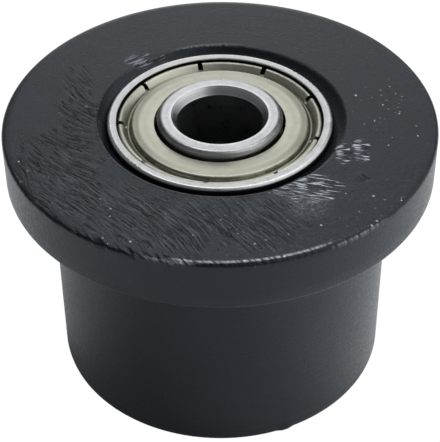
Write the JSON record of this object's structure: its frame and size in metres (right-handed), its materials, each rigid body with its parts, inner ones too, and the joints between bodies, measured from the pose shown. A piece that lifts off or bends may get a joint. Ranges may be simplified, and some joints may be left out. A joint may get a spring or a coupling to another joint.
{
  "type": "bearing roller wheel",
  "caption": "Flanged roller wheel in black plastic with a straight barrel, turning on shielded ball bearings.",
  "frame": {"origin": "on the axle line at the lower bearing's inner ring face, which is what the wheel stands on", "axes": "+Z along the axle line, from the barrel's end towards the flange; the wheel is round, so X and Y are free"},
  "size_m": [0.05, 0.05, 0.034],
  "materials": {
    "black_nylon": "satin, turned, with torn cutting marks on the flange",
    "bearing_steel": "finely ground",
    "shield_steel": "satin sheet, faintly yellow",
    "cage_steel": "pressed strip, oiled",
    "ball_steel": "polished"
  },
  "bodies": {
    "wheel": {"wheel": "black_nylon", "upper_outer_ring": "bearing_steel", "upper_outer_shield": "shield_steel", "upper_inner_shield": "shield_steel", "lower_outer_ring": "bearing_steel", "lower_outer_shield": "shield_steel", "lower_inner_shield": "shield_steel"},
    "upper_inner_ring": {"upper_inner_ring": "bearing_steel"},
    "upper_cage": {"upper_outer_cage": "cage_steel", "upper_inner_cage": "cage_steel", "upper_rivets": "cage_steel"},
    "upper_ball_1": {"upper_ball_1": "ball_steel"},
    "upper_ball_2": {"upper_ball_2": "ball_steel"},
    "upper_ball_3": {"upper_ball_3": "ball_steel"},
    "upper_ball_4": {"upper_ball_4": "ball_steel"},
    "upper_ball_5": {"upper_ball_5": "ball_steel"},
    "upper_ball_6": {"upper_ball_6": "ball_steel"},
    "upper_ball_7": {"upper_ball_7": "ball_steel"},
    "lower_inner_ring": {"lower_inner_ring": "bearing_steel"},
    "lower_cage": {"lower_outer_cage": "cage_steel", "lower_inner_cage": "cage_steel", "lower_rivets": "cage_steel"},
    "lower_ball_1": {"lower_ball_1": "ball_steel"},
    "lower_ball_2": {"lower_ball_2": "ball_steel"},
    "lower_ball_3": {"lower_ball_3": "ball_steel"},
    "lower_ball_4": {"lower_ball_4": "ball_steel"},
    "lower_ball_5": {"lower_ball_5": "ball_steel"},
    "lower_ball_6": {"lower_ball_6": "ball_steel"},
    "lower_ball_7": {"lower_ball_7": "ball_steel"}
  },
  "joints": [
    {"name": "upper_inner_ring_spin", "type": "hinge", "parent": "wheel", "child": "upper_inner_ring", "pos_m": [0, 0, 0.0295], "axis": [0, 0, 1], "continuous": true},
    {"name": "upper_cage_orbit", "type": "hinge", "parent": "wheel", "child": "upper_cage", "pos_m": [0, 0, 0.0295], "axis": [0, 0, 1], "continuous": true},
    {"name": "upper_ball_1_spin", "type": "hinge", "parent": "upper_cage", "child": "upper_ball_1", "pos_m": [0.009, 0, 0.0295], "axis": [0, 0, 1], "continuous": true},
    {"name": "upper_ball_2_spin", "type": "hinge", "parent": "upper_cage", "child": "upper_ball_2", "pos_m": [0.00561, 0.00704, 0.0295], "axis": [0, 0, 1], "continuous": true},
    {"name": "upper_ball_3_spin", "type": "hinge", "parent": "upper_cage", "child": "upper_ball_3", "pos_m": [-0.002, 0.00877, 0.0295], "axis": [0, 0, 1], "continuous": true},
    {"name": "upper_ball_4_spin", "type": "hinge", "parent": "upper_cage", "child": "upper_ball_4", "pos_m": [-0.00811, 0.00391, 0.0295], "axis": [0, 0, 1], "continuous": true},
    {"name": "upper_ball_5_spin", "type": "hinge", "parent": "upper_cage", "child": "upper_ball_5", "pos_m": [-0.00811, -0.00391, 0.0295], "axis": [0, 0, 1], "continuous": true},
    {"name": "upper_ball_6_spin", "type": "hinge", "parent": "upper_cage", "child": "upper_ball_6", "pos_m": [-0.002, -0.00877, 0.0295], "axis": [0, 0, 1], "continuous": true},
    {"name": "upper_ball_7_spin", "type": "hinge", "parent": "upper_cage", "child": "upper_ball_7", "pos_m": [0.00561, -0.00704, 0.0295], "axis": [0, 0, 1], "continuous": true},
    {"name": "lower_inner_ring_spin", "type": "hinge", "parent": "wheel", "child": "lower_inner_ring", "pos_m": [0, 0, 0.0045], "axis": [0, 0, 1], "continuous": true},
    {"name": "lower_cage_orbit", "type": "hinge", "parent": "wheel", "child": "lower_cage", "pos_m": [0, 0, 0.0045], "axis": [0, 0, 1], "continuous": true},
    {"name": "lower_ball_1_spin", "type": "hinge", "parent": "lower_cage", "child": "lower_ball_1", "pos_m": [0.009, 0, 0.0045], "axis": [0, 0, 1], "continuous": true},
    {"name": "lower_ball_2_spin", "type": "hinge", "parent": "lower_cage", "child": "lower_ball_2", "pos_m": [0.00561, 0.00704, 0.0045], "axis": [0, 0, 1], "continuous": true},
    {"name": "lower_ball_3_spin", "type": "hinge", "parent": "lower_cage", "child": "lower_ball_3", "pos_m": [-0.002, 0.00877, 0.0045], "axis": [0, 0, 1], "continuous": true},
    {"name": "lower_ball_4_spin", "type": "hinge", "parent": "lower_cage", "child": "lower_ball_4", "pos_m": [-0.00811, 0.00391, 0.0045], "axis": [0, 0, 1], "continuous": true},
    {"name": "lower_ball_5_spin", "type": "hinge", "parent": "lower_cage", "child": "lower_ball_5", "pos_m": [-0.00811, -0.00391, 0.0045], "axis": [0, 0, 1], "continuous": true},
    {"name": "lower_ball_6_spin", "type": "hinge", "parent": "lower_cage", "child": "lower_ball_6", "pos_m": [-0.002, -0.00877, 0.0045], "axis": [0, 0, 1], "continuous": true},
    {"name": "lower_ball_7_spin", "type": "hinge", "parent": "lower_cage", "child": "lower_ball_7", "pos_m": [0.00561, -0.00704, 0.0045], "axis": [0, 0, 1], "continuous": true}
  ],
  "couplings": [
    {"joint": "upper_cage_orbit", "follows": "upper_inner_ring_spin", "ratio": 0.36772},
    {"joint": "upper_ball_1_spin", "follows": "upper_inner_ring_spin", "ratio": -1.7577},
    {"joint": "upper_ball_2_spin", "follows": "upper_inner_ring_spin", "ratio": -1.7577},
    {"joint": "upper_ball_3_spin", "follows": "upper_inner_ring_spin", "ratio": -1.7577},
    {"joint": "upper_ball_4_spin", "follows": "upper_inner_ring_spin", "ratio": -1.7577},
    {"joint": "upper_ball_5_spin", "follows": "upper_inner_ring_spin", "ratio": -1.7577},
    {"joint": "upper_ball_6_spin", "follows": "upper_inner_ring_spin", "ratio": -1.7577},
    {"joint": "upper_ball_7_spin", "follows": "upper_inner_ring_spin", "ratio": -1.7577},
    {"joint": "lower_cage_orbit", "follows": "lower_inner_ring_spin", "ratio": 0.36772},
    {"joint": "lower_ball_1_spin", "follows": "lower_inner_ring_spin", "ratio": -1.7577},
    {"joint": "lower_ball_2_spin", "follows": "lower_inner_ring_spin", "ratio": -1.7577},
    {"joint": "lower_ball_3_spin", "follows": "lower_inner_ring_spin", "ratio": -1.7577},
    {"joint": "lower_ball_4_spin", "follows": "lower_inner_ring_spin", "ratio": -1.7577},
    {"joint": "lower_ball_5_spin", "follows": "lower_inner_ring_spin", "ratio": -1.7577},
    {"joint": "lower_ball_6_spin", "follows": "lower_inner_ring_spin", "ratio": -1.7577},
    {"joint": "lower_ball_7_spin", "follows": "lower_inner_ring_spin", "ratio": -1.7577}
  ]
}
